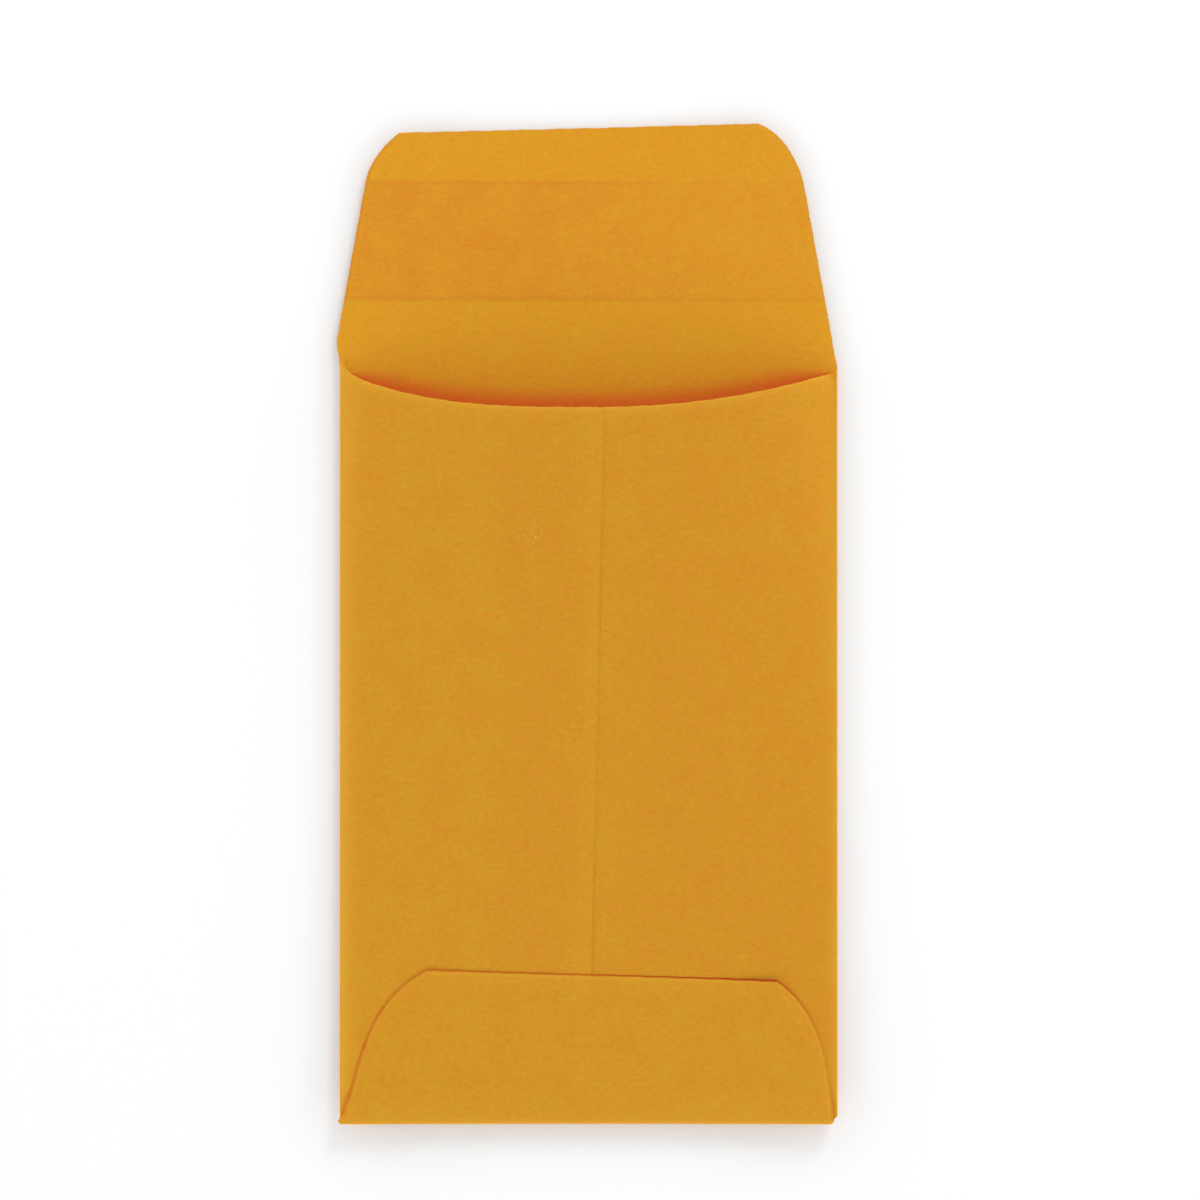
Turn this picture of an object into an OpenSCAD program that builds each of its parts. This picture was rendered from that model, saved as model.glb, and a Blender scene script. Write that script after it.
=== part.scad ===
// Coin envelope: one kraft sheet folded into a pocket, glued at the centre seam and the bottom flap,
// lying on its back with the mouth open and the gummed seal flap laid out flat.
// X runs across the envelope, +Y towards the seal flap, +Z up from the face it lies on.

/* [Sheet] */
// Thickness of the kraft paper
paper_t = 0.13; // [0.1:0.01:0.2]
// Clear space that a side fold leaves between the back and the front
fold_gap = 0.16; // [0.1:0.01:0.4]
// Space that the glue takes between two layers of paper
glue_gap = 0.08; // [0.07:0.01:0.15]
// Thickness of a dried glue line
glue_t = 0.04; // [0.02:0.01:0.05]

/* [Body] */
// Width across the side folds
body_w = 57.15; // [50:0.05:80]
// Height from the bottom fold to the line where the seal flap starts
body_h = 88.9; // [80:0.1:130]
// How far the side folds and side panels stop short of the bottom fold
corner_cut = 0.4; // [0.1:0.1:2]

/* [Mouth] */
// How far the front stands open at the middle of the mouth
mouth_gap = 4.6; // [3:0.1:7]
// How full the arch of the front is across the mouth
arch_power = 2.6; // [2:0.1:4]
// How the front falls from the mouth to the bottom fold
fall_power = 1.5; // [1.2:0.1:2.5]
// Distance from a side fold over which the front bends up
fold_ease = 1; // [0.5:0.1:3]
// Drop from the flap's line to the throat at the side folds
throat_end = 2.5; // [2.4:0.1:5]
// Drop from the flap's line to the throat at the middle
throat_depth = 6.45; // [5:0.05:12]
// Fullness of the throat's curve on the left side panel
throat_power_left = 3; // [2:0.1:4]
// Fullness of the throat's curve on the right side panel
throat_power_right = 2.2; // [2:0.1:4]

/* [Centre seam] */
// Place of the seam's free edge at the mouth, right of the middle
seam_mouth_x = 1.9; // [-4:0.1:4]
// Place of the seam's free edge at the bottom, right of the middle
seam_bottom_x = 0.3; // [-4:0.1:4]
// How far the left side panel lies over the right one
seam_overlap = 11.1; // [9:0.1:14]
// Length over which the left side panel climbs onto the right one
seam_climb = 10; // [8:0.5:12]
// Width of the glue line in the seam
seam_glue_w = 7; // [3:0.1:8]
// Distance from the seam's free edge to its glue line
seam_glue_inset = 3.2; // [0.5:0.1:3.5]
// Distance that the seam's glue line stops short of the mouth and the bottom
seam_glue_end = 2; // [0.5:0.1:6]

/* [Bottom flap] */
// Height of the bottom flap at its left shoulder
bottom_flap_left_h = 17.8; // [12:0.1:25]
// Height of the bottom flap at its right shoulder
bottom_flap_right_h = 16.45; // [12:0.05:25]
// Distance of the left shoulder from the side fold
left_shoulder = 10.1; // [5:0.1:15]
// Distance of the right shoulder from the side fold
right_shoulder = 7.1; // [5:0.1:15]
// How far the left side of the bottom flap leans in low down
left_low_lean = 2.4; // [0.5:0.1:4]
// How far the left side of the bottom flap leans in high up
left_high_lean = 1.8; // [0.5:0.1:4]
// How far the right side of the bottom flap leans in
right_lean = 0.95; // [0.5:0.05:4]
// How far the bottom fold reaches past the left side fold
left_foot_out = 0.17; // [0:0.01:0.4]
// How far the bottom fold stops short of the right side fold
right_foot_in = 0.45; // [0.3:0.05:2]
// Width of the glue line under the edge of the bottom flap
flap_glue_w = 5; // [2:0.1:8]
// Distance from the bottom flap's edge to its glue line
flap_glue_inset = 1.5; // [0.5:0.1:4]

/* [Seal flap] */
// Height of the seal flap above its line, at the middle
flap_h = 25.55; // [22:0.05:40]
// Tilt of the flap's top edge, as it was cut
flap_skew = 1.46; // [0:0.01:3]
// How far the flap's left ear reaches past the side fold, as it was cut
left_ear_out = 0.38; // [0:0.01:1]
// How far the flap's right ear stops short of the side fold, as it was cut
right_ear_in = 0.58; // [0:0.01:2]
// Height of the ears above the flap's line
ear_h = 1.2; // [0:0.1:3]
// Lean of the flap's sides
flap_taper = 10.3; // [5:0.1:15]
// Height of the rounded left corner
left_corner_h = 5.7; // [3:0.1:9]
// Width of the rounded left corner
left_corner_w = 3.8; // [2:0.1:9]
// Height of the rounded right corner
right_corner_h = 7; // [3:0.1:9]
// Width of the rounded right corner
right_corner_w = 4.6; // [2:0.1:9]
// How far the gum lifts the flap's tip
flap_curl = 0.3; // [0.1:0.1:3]
// Start of the soft fold, below the flap's line
fold_below = 2.3; // [1:0.1:2.3]
// End of the soft fold, above the flap's line
fold_above = 5.4; // [3:0.1:5.5]

/* [Seal gum] */
// Height of the gum band above the flap's line
gum_low = 5.7; // [5.6:0.1:8]
// Width of the gum band
gum_w = 14; // [6:0.1:16]
// Distance of the gum from the flap's sides
gum_margin = 0.4; // [0.2:0.1:5]
// Thickness of the dried gum
gum_t = 0.03; // [0.02:0.01:0.06]
// Room between the gum and the paper that carries it
gum_clear = 0.01; // [0.01:0.01:0.03]

/* [Hidden] */
// How finely the curved sheets are divided, across and along
steps_across = 24;
steps_along = 14;
steps_flap = 12;
steps_glue = 6;
// Spacing of the divisions, closer near a side fold
fold_crowding = 1.5;
// Heights of the handles that shape the bottom flap's sides, as shares of the shoulder's height
low_handle = 0.32;
high_handle = 0.765;
// Share of the flap's divisions that its straight sides take
straight_share = 0.5;
// Share of a corner's size at which the handle of its curve stands
corner_bulge = 0.62;
// The left side panel is fully raised this far before the edge that it climbs over
climb_clear = 0.5;
// Length over which the bottom flap comes down past the seam's free edge
flap_drop = 8;
// Distance from the bottom fold over which the bottom flap settles onto the side panels
flap_settle = 4;
// Facets around a fold
fold_fn = 48;
// A little more than any fold, to trim rings in half
trim = 4;

// Radii of the folds and the heights of the layers
layer = paper_t + glue_gap;
side_r = fold_gap / 2 + paper_t;
front_z = paper_t + fold_gap;
bottom_r = (front_z + 2 * layer + paper_t) / 2;

// Places along Y
flap_slope = tan(flap_taper);
skew_slope = tan(flap_skew);
right_corner_x = flap_right(flap_h - right_corner_h) - right_corner_w;
left_corner_x = flap_left(flap_h - left_corner_h) + left_corner_w;
flap_top = flap_h + right_corner_x * skew_slope;
y_bottom = -(body_h + flap_top) / 2;
y_line = y_bottom + body_h;
y_fold = y_bottom + bottom_r;
y_panel = y_fold + corner_cut;
y_throat_end = y_line - throat_end;
y_mouth = y_line - throat_depth;
y_back_top = y_line - fold_below;
y_flap = y_line + fold_above;

// Places along X
x_fold = body_w / 2 - side_r;
foot_left = -body_w / 2 - left_foot_out;
foot_right = body_w / 2 - right_foot_in;

kraft = "#d39329";
kraft_inside = "#dc9628";
dry_glue = "#c98a3c";
dry_gum = "#d88f2a";

// Shared curves
function mix(a, b, k) = a + (b - a) * k;

function ease(from, to, at) =
    let (k = min(1, max(0, (at - from) / (to - from))))
    k * k * (3 - 2 * k);

function cubic(p, k) =
    let (m = 1 - k)
    p[0] * m * m * m + 3 * p[1] * m * m * k + 3 * p[2] * m * k * k + p[3] * k * k * k;

function quadratic(p, k) =
    let (m = 1 - k)
    p[0] * m * m + 2 * p[1] * m * k + p[2] * k * k;

// Share of the way from the bottom fold to the mouth
function up_share(y) = max(0, (y - y_bottom) / (y_mouth - y_bottom));

// Height of the front above its flat place, arched across and falling to the bottom fold
function arch(x) =
    let (reach = min(abs(x), x_fold))
    (1 - pow(reach / x_fold, arch_power)) * (1 - exp((reach - x_fold) / fold_ease));

function rise(x, y) = mouth_gap * arch(x) * pow(up_share(y), fall_power);

// The seam's free edge, the edge hidden under it, and the height that the left panel climbs
function seam_x(y) = mix(seam_bottom_x, seam_mouth_x, up_share(y));

function lap_x(y) = seam_x(y) - seam_overlap;

function climb(x, y) =
    layer * ease(lap_x(y) - climb_clear - seam_climb, lap_x(y) - climb_clear, x);

// The bottom flap lies on the left panel, and comes down past the seam onto the right one
function drape(x, y) =
    climb(x, y) - layer * ease(seam_x(y) + climb_clear, seam_x(y) + climb_clear + flap_drop, x);

function throat_y(x, power) =
    y_mouth + (y_throat_end - y_mouth) * pow(min(abs(x), x_fold) / x_fold, power);

// Undersides of the curved sheets, over two shares that run across and along
function left_under(across, along) =
    let (
        nominal_y = mix(y_panel, y_mouth, along),
        x = mix(-x_fold, seam_x(nominal_y), pow(across, fold_crowding)),
        y = mix(y_panel, throat_y(x, throat_power_left), along)
    )
    [x, y, front_z + rise(x, y) + climb(x, y)];

function right_under(across, along) =
    let (
        nominal_y = mix(y_panel, y_mouth, along),
        x = mix(x_fold, lap_x(nominal_y), pow(1 - across, fold_crowding)),
        y = mix(y_panel, throat_y(x, throat_power_right), along)
    )
    [x, y, front_z + rise(x, y)];

function seam_glue_under(across, along) =
    let (
        y = mix(y_panel + seam_glue_end, y_mouth - seam_glue_end, along),
        x = seam_x(y) - seam_glue_inset - seam_glue_w * (1 - across)
    )
    [x, y, front_z + rise(x, y) + paper_t + (glue_gap - glue_t) / 2];

function bottom_flap_side(foot_x, low_x, high_x, shoulder_x, shoulder_h) = [
    [foot_x, y_fold],
    [low_x, y_bottom + low_handle * shoulder_h],
    [high_x, y_bottom + high_handle * shoulder_h],
    [shoulder_x, y_bottom + shoulder_h]
];

left_side = bottom_flap_side(
    foot_left, left_low_lean - body_w / 2, left_high_lean - body_w / 2,
    left_shoulder - body_w / 2, bottom_flap_left_h
);
right_side = bottom_flap_side(
    foot_right, body_w / 2 - right_lean, body_w / 2 - right_lean,
    body_w / 2 - right_shoulder, bottom_flap_right_h
);

function bottom_flap_z(x, y) =
    let (settled = ease(y_fold, y_fold + flap_settle, y))
    front_z + rise(x, y) + layer + mix(layer, drape(x, y), settled);

function bottom_flap_under(across, along) =
    let (at = mix(cubic(left_side, along), cubic(right_side, along), across))
    [at[0], at[1], bottom_flap_z(at[0], at[1])];

function flap_glue_under(across, along) =
    let (
        shoulder_h = min(bottom_flap_left_h, bottom_flap_right_h),
        high = 1 - flap_glue_inset / shoulder_h,
        up = mix(high - flap_glue_w / shoulder_h, high, along),
        side = flap_glue_inset / body_w,
        at = mix(cubic(left_side, up), cubic(right_side, up), mix(side, 1 - side, across))
    )
    [at[0], at[1], bottom_flap_z(at[0], at[1]) - (glue_gap + glue_t) / 2];

// Outline of the seal flap, by height above its line
function flap_left(h) = -body_w / 2 - left_ear_out + (h - ear_h) * flap_slope;

function flap_right(h) = body_w / 2 - right_ear_in - (h - ear_h) * flap_slope;

function flap_edge(root, start, handle, end, along) =
    along < straight_share
        ? mix(root, start, along / straight_share)
        : quadratic([start, handle, end], (along - straight_share) / (1 - straight_share));

left_start_h = flap_h - left_corner_h;
right_start_h = flap_h - right_corner_h;
left_bulge_h = left_start_h + corner_bulge * left_corner_h;
right_bulge_h = right_start_h + corner_bulge * right_corner_h;

function flap_left_edge(along) =
    flap_edge(
        [flap_left(fold_above), fold_above],
        [flap_left(left_start_h), left_start_h],
        [flap_left(left_bulge_h), left_bulge_h],
        [left_corner_x, flap_h + left_corner_x * skew_slope],
        along
    );

function flap_right_edge(along) =
    flap_edge(
        [flap_right(fold_above), fold_above],
        [flap_right(right_start_h), right_start_h],
        [flap_right(right_bulge_h), right_bulge_h],
        [right_corner_x, flap_top],
        along
    );

function curl(h) = flap_curl * pow((h - fold_above) / (flap_h - fold_above), 2);

function seal_flap_under(across, along) =
    let (at = mix(flap_left_edge(along), flap_right_edge(along), across))
    [at[0], y_line + at[1], curl(at[1])];

function gum_under(across, along) =
    let (
        h = gum_low + gum_w * along,
        x = mix(flap_left(h) + gum_margin, flap_right(h) - gum_margin, across)
    )
    [x, y_line + h, paper_t + gum_clear + curl(h)];

// A closed sheet of even thickness over a surface given by its underside
module sheet(under, thickness, across, along) {
    row = along + 1;
    count = (across + 1) * row;
    low = [for (i = [0:across], j = [0:along]) under(i / across, j / along)];
    high = [for (p = low) p + [0, 0, thickness]];
    skin = [
        for (i = [0:across - 1], j = [0:along - 1])
            let (a = i * row + j, b = a + row)
            each [
                [a, b, b + 1], [a, b + 1, a + 1],
                [count + a, count + b + 1, count + b], [count + a, count + a + 1, count + b + 1]
            ]
    ];
    sides = [
        for (i = [0:across - 1])
            let (a = i * row, b = a + row, c = a + along, d = b + along)
            each [
                [a, count + a, count + b], [a, count + b, b],
                [d, count + d, count + c], [d, count + c, c]
            ]
    ];
    ends = [
        for (j = [0:along - 1])
            let (a = j, b = j + 1, c = across * row + j, d = c + 1)
            each [
                [b, count + b, count + a], [b, count + a, a],
                [c, count + c, count + d], [c, count + d, d]
            ]
    ];
    polyhedron(points = concat(low, high), faces = concat(skin, sides, ends));
}

// Half a ring of paper, open towards +X, for a fold of the given radius
module half_ring(radius) {
    difference() {
        circle(r = radius, $fn = fold_fn);
        circle(r = radius - paper_t, $fn = fold_fn);
        translate([0, -trim / 2 - radius])
            square([trim + radius, trim + 2 * radius]);
    }
}

module side_fold() {
    translate([-x_fold, y_throat_end, side_r])
        rotate([90, 0, 0])
            linear_extrude(height = y_throat_end - y_panel)
                half_ring(side_r);
}

module back_panel() {
    color(kraft_inside)
        linear_extrude(height = paper_t)
            polygon([
                [foot_left, y_fold], [foot_right, y_fold],
                [x_fold, y_panel], [x_fold, y_back_top],
                [-x_fold, y_back_top], [-x_fold, y_panel]
            ]);
}

module left_side_fold() {
    color(kraft)
        side_fold();
}

module right_side_fold() {
    color(kraft)
        mirror([1, 0, 0])
            side_fold();
}

module left_side_panel() {
    color(kraft)
        sheet(function(a, b) left_under(a, b), paper_t, steps_across, steps_along);
}

module right_side_panel() {
    color(kraft)
        sheet(function(a, b) right_under(a, b), paper_t, steps_across, steps_along);
}

module seam_adhesive() {
    color(dry_glue)
        sheet(function(a, b) seam_glue_under(a, b), glue_t, steps_glue, steps_along);
}

module bottom_fold() {
    color(kraft)
        translate([foot_left, y_fold, bottom_r])
            rotate([90, 0, 90])
                linear_extrude(height = foot_right - foot_left)
                    half_ring(bottom_r);
}

module bottom_flap() {
    color(kraft)
        sheet(function(a, b) bottom_flap_under(a, b), paper_t, steps_across, steps_flap);
}

module bottom_flap_adhesive() {
    color(dry_glue)
        sheet(function(a, b) flap_glue_under(a, b), glue_t, steps_across, steps_glue);
}

module flap_crease() {
    color(kraft_inside)
        translate([0, y_line, 0])
            linear_extrude(height = paper_t)
                polygon([
                    [-body_w / 2, -fold_below], [body_w / 2, -fold_below],
                    [flap_right(ear_h), ear_h], [flap_right(fold_above), fold_above],
                    [flap_left(fold_above), fold_above], [flap_left(ear_h), ear_h]
                ]);
}

module seal_flap() {
    color(kraft_inside)
        sheet(function(a, b) seal_flap_under(a, b), paper_t, steps_glue, steps_flap);
}

module seal_gum() {
    color(dry_gum)
        sheet(function(a, b) gum_under(a, b), gum_t, steps_glue, steps_flap);
}

back_panel();
left_side_fold();
right_side_fold();
left_side_panel();
right_side_panel();
seam_adhesive();
bottom_fold();
bottom_flap();
bottom_flap_adhesive();
flap_crease();
seal_flap();
seal_gum();
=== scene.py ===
"""Coin envelope: one folded kraft sheet, its two glue lines and its gum band, laid over the fixed frame.

Each piece of paper starts as a grid, is laid onto the outside face of its panel, gets the sheet's
thickness, and keeps its place on the flat blank as a UV map, so that the fibres run on across the folds.
"""

import math

import bpy
import numpy as np
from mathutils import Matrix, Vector


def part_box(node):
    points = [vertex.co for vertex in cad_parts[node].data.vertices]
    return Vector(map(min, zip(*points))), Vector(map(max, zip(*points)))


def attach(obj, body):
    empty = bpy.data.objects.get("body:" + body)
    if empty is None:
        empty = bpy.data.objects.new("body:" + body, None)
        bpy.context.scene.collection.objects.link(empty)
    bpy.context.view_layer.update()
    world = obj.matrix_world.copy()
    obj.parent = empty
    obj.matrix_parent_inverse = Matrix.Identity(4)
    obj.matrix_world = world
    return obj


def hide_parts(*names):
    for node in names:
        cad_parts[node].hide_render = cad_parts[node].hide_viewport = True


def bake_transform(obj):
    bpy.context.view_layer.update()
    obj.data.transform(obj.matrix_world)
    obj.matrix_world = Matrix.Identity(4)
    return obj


bl_info = {
    "name": "Coin envelope",
    "version": (1, 0, 0),
    "blender": (4, 5, 0),
    "location": "3D View > Sidebar > Envelope",
    "description": "Models a folded kraft coin envelope over its fixed frame",
    "category": "Object",
}

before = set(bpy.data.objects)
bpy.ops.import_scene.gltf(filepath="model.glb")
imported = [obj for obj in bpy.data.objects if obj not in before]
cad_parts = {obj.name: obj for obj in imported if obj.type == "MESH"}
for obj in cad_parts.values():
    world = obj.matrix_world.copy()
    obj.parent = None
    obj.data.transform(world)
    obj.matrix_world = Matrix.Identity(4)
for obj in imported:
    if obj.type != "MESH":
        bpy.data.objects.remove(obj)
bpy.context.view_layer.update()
MM = 0.001

# Places that the frame gives
BACK_LOW, BACK_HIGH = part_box("back_panel")
SIDE_LOW, SIDE_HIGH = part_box("left_side_fold")
LEFT_LOW, LEFT_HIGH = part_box("left_side_panel")
FOOT_LOW, FOOT_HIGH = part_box("bottom_fold")
FLAP_LOW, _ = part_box("seal_flap")
GUM_LOW, GUM_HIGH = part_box("seal_gum")

PAPER_T = BACK_HIGH.z - BACK_LOW.z
SIDE_R = (SIDE_HIGH.z - SIDE_LOW.z) / 2
FOOT_R = (FOOT_HIGH.z - FOOT_LOW.z) / 2
FRONT_Z = LEFT_LOW.z
HALF_W = -SIDE_LOW.x
X_FOLD = -LEFT_LOW.x
Y_BOTTOM = FOOT_LOW.y
Y_FOOT = FOOT_HIGH.y
Y_PANEL = LEFT_LOW.y
Y_THROAT = SIDE_HIGH.y
Y_BACK_TOP = BACK_HIGH.y
Y_FLAP = FLAP_LOW.y
LAYER = (FOOT_HIGH.z - PAPER_T - FRONT_Z) / 2

# Surface of every paper and glue
SMOOTH_ANGLE = math.radians(35)
RELIEF_H = 0.03 * MM
ROUGHNESS_SPREAD = 0.06
SPECULAR = 0.12


def length(name, description, default):
    return bpy.props.FloatProperty(
        name=name, description=description, default=default, subtype="DISTANCE", unit="LENGTH", precision=5
    )


def angle(name, description, default):
    return bpy.props.FloatProperty(
        name=name, description=description, default=math.radians(default), subtype="ANGLE", unit="ROTATION"
    )


def share(name, description, default):
    return bpy.props.FloatProperty(
        name=name, description=description, default=default, subtype="FACTOR", min=0, max=1
    )


def number(name, description, default):
    return bpy.props.FloatProperty(name=name, description=description, default=default)


def place_at(name, description, default):
    return bpy.props.FloatVectorProperty(
        name=name, description=description, default=default, subtype="TRANSLATION", unit="LENGTH", size=3
    )


def colour(name, description, default):
    return bpy.props.FloatVectorProperty(
        name=name, description=description, default=default, subtype="COLOR", size=3, min=0, max=1
    )


class FrontForm(bpy.types.PropertyGroup):
    """The two side panels, which lap at the centre seam and stand open at the mouth"""

    mouth_gap: length("Mouth gap", "How far the front stands open at the middle of the mouth", 4.6 * MM)
    arch_power: number("Arch", "How full the arch of the front is across the mouth", 2.6)
    fall_power: number("Fall", "How the front falls from the mouth to the bottom fold", 1.5)
    fold_ease: length("Fold ease", "Distance from a side fold over which the front bends up", 1.0 * MM)
    throat_drop: length("Throat drop", "Drop from the side folds to the middle of the throat", 4.2 * MM)
    throat_left: number("Left throat", "Fullness of the throat's curve on the left panel", 3.0)
    throat_right: number("Right throat", "Fullness of the throat's curve on the right panel", 2.2)
    seam_mouth_x: length("Seam at the mouth", "Place of the seam's free edge at the mouth", LEFT_HIGH.x)
    seam_bottom_x: length("Seam at the bottom", "Place of the seam's free edge at the bottom", 0.1 * MM)
    seam_overlap: length("Seam overlap", "How far the left panel lies over the right one", 11.1 * MM)
    seam_climb: length("Seam climb", "Length over which the left panel climbs onto the right", 10.0 * MM)
    seam_run: length("Seam length", "Length over which the seam's edge wanders", 85.0 * MM)
    climb_clear: length("Climb clearance", "The climb ends this far before the edge below it", 0.5 * MM)
    press_w: length("Pressed width", "Width of the strip that is pressed flat along a glued edge", 2.2 * MM)
    press_clear: length("Pressed clearance", "Room left under a pressed edge", 0.015 * MM)
    seam_thin: share("Seam thickness", "Share of the thickness left at the seam's edge", 0.05)
    covered_short: length("Covered edge", "How far the covered edge stops short of the mouth", 0.3 * MM)
    covered_w: length("Covered step", "Width over which the covered edge steps down", 1.0 * MM)
    horn_h: length("Horn height", "How far the left panel runs up along its fold", 1.7 * MM)
    horn_w: length("Horn width", "Width over which the horn dies out", 0.5 * MM)
    lip_w: length("Lip width", "Width of the strip that bends down along the mouth", 1.7 * MM)
    lip_drop: length("Lip drop", "How far the lip of the mouth bends down", 0.14 * MM)
    cockle: length("Cockle", "Height of the slow waves in the paper", 0.07 * MM)
    cockle_start: length("Cockle start", "Height over which the waves grow from the bottom", 20.0 * MM)
    side_bow: length("Side bow", "How far the sides stand off what the envelope lies on", 0.65 * MM)
    foot_bow: length("Foot bow", "How far the bottom stands off what the envelope lies on", 0.65 * MM)
    foot_bow_y: length("Foot bow start", "Where the bottom starts to bow up", -10.0 * MM)
    ragged: length("Ragged edge", "How far a cut edge wanders", 0.035 * MM)
    seam_ragged: length("Ragged seam", "How far the seam's edge wanders", 0.021 * MM)
    mouth_ragged: length("Ragged mouth", "How far the edge of the mouth wanders", 0.0455 * MM)
    # Painted shade at the mouth, where the open front shades the back
    shade_gap: length("Shade gap", "Gap of the mouth past which its shade grows no more", 2.2 * MM)
    shade_least: length("Least shade", "Gap that the shade goes by where the mouth is shut", 0.1 * MM)
    shade_start: number("Shade start", "Where the close shade starts to fade, in gaps", 0.1)
    shade_end: number("Shade end", "Where the close shade has faded out, in gaps", 1.2)
    shade_far: number("Far shade", "Where the wide shade has faded out, in gaps", 3.0)
    shade_wide: share("Wide shade", "Share of the wide shade in the whole", 0.2)
    shade_in: length("Shade inwards", "Distance into the mouth over which the shade fades", 9.0 * MM)
    shade_loss: share("Shade loss", "Share of the shade that fades inwards", 0.7)


class BottomForm(bpy.types.PropertyGroup):
    """The bottom flap, glued over both side panels"""

    left_h: length("Left height", "Height of the flap at its left shoulder", 17.8 * MM)
    right_h: length("Right height", "Height of the flap at its right shoulder", 16.6 * MM)
    left_shoulder: length("Left shoulder", "Distance of the left shoulder from the side fold", 10.1 * MM)
    right_shoulder: length("Right shoulder", "Distance of the right shoulder from the side fold", 7.1 * MM)
    left_low_lean: length("Left lean, low", "How far the left side leans in low down", 2.4 * MM)
    left_high_lean: length("Left lean, high", "How far the left side leans in high up", 1.8 * MM)
    right_lean: length("Right lean", "How far the right side leans in", 0.95 * MM)
    low_handle: share("Low handle", "Height of the lower handle of a side's curve", 0.32)
    high_handle: share("High handle", "Height of the upper handle of a side's curve", 0.765)
    settle: length("Settle", "Distance from the bottom fold over which the flap settles", 4.0 * MM)
    drop: length("Drop", "Length over which the flap comes down past the seam", 1.2 * MM)
    edge_thin: share("Edge thickness", "Share of the thickness left at the flap's edge", 0.06)
    left_lift: length("Left lift", "How far the left shoulder stands off", 0.10 * MM)
    left_lift_w: share("Left lift width", "Share of the flap's width that lifts on the left", 0.13)
    right_lift: length("Right lift", "How far the right shoulder stands off", 0.20 * MM)
    right_lift_w: share("Right lift width", "Share of the flap's width that lifts on the right", 0.10)
    corner_in: length("Corner", "How far the ends of the bottom fold are drawn in", 0.4 * MM)


class FlapForm(bpy.types.PropertyGroup):
    """The seal flap, laid open"""

    height: length("Height", "Height of the flap above its line, at the middle", 25.55 * MM)
    fold_above: length("Soft fold", "End of the soft fold, above the flap's line", 5.4 * MM)
    skew: angle("Skew", "Tilt of the flap's top edge", 1.46)
    taper: angle("Taper", "Lean of the flap's sides", 10.3)
    left_ear_out: length("Left ear", "How far the left ear reaches past the side fold", 0.38 * MM)
    right_ear_in: length("Right ear", "How far the right ear stops short of the side fold", 0.58 * MM)
    ear_h: length("Ear height", "Height of the ears above the flap's line", 1.2 * MM)
    left_corner_h: length("Left corner height", "Height of the rounded left corner", 6.5 * MM)
    left_corner_w: length("Left corner width", "Width of the rounded left corner", 3.95 * MM)
    left_low: share("Left low handle", "Height of the left corner's lower handle", 0.36)
    left_high_x: length("Left high handle, across", "From the corner's end to its upper handle", 2.23 * MM)
    left_high_h: length("Left high handle, down", "From the corner's end to its upper handle", 1.8 * MM)
    right_corner_h: length("Right corner height", "Height of the rounded right corner", 7.0 * MM)
    right_corner_w: length("Right corner width", "Width of the rounded right corner", 5.45 * MM)
    right_low: share("Right low handle", "Height of the right corner's lower handle", 0.5)
    right_high_x: length("Right high handle, across", "From the corner's end to its upper handle", 2.5 * MM)
    right_high_h: length("Right high handle, down", "From the corner's end to its upper handle", 0.7 * MM)
    straight_share: share("Straight share", "Share of the rows that the straight sides take", 0.5)
    curl: length("Curl", "How far the gum lifts the flap's tip", 0.3 * MM)
    gum_margin: length("Gum margin", "Distance of the gum from the flap's sides", 0.4 * MM)
    gum_clear: length("Gum clearance", "Room between the gum and the paper", 0.01 * MM)
    gum_t: length("Gum thickness", "Thickness of the dried gum", 0.03 * MM)
    gum_faint: share("Faint gum", "Share of the gum's tint left at the right", 0.4)
    gum_ragged: length("Ragged gum", "How far the border of the gum wanders", 0.05 * MM)
    gum_fade: length("Gum border", "Width over which the gum thins out at its border", 0.3 * MM)
    gum_thin: share("Thin gum", "Share of the gum's thickness left at its border", 0.1)
    gum_bead: share("Gum bead", "Strength of the darker bead along the border", 0.08)
    gum_bead_at: length("Bead place", "Distance of the bead from the border", 0.35 * MM)
    gum_bead_w: length("Bead width", "Half width of the bead", 0.25 * MM)


class GlueForm(bpy.types.PropertyGroup):
    """The dried glue lines between the layers"""

    thickness: length("Thickness", "Thickness of a dried glue line", 0.04 * MM)
    seam_w: length("Seam line width", "Width of the glue line in the seam", 7.0 * MM)
    seam_inset: length("Seam line inset", "Distance from the seam's free edge to its glue", 3.2 * MM)
    seam_end: length("Seam line end", "Distance that the glue stops short of both ends", 2.0 * MM)
    flap_w: length("Flap line width", "Width of the glue line under the bottom flap", 5.0 * MM)
    flap_inset: length("Flap line inset", "About how far the glue keeps from the flap's edge", 2.6 * MM)
    beading: length("Beading", "How far the edge of a glue line wanders", 0.3 * MM)


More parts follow.
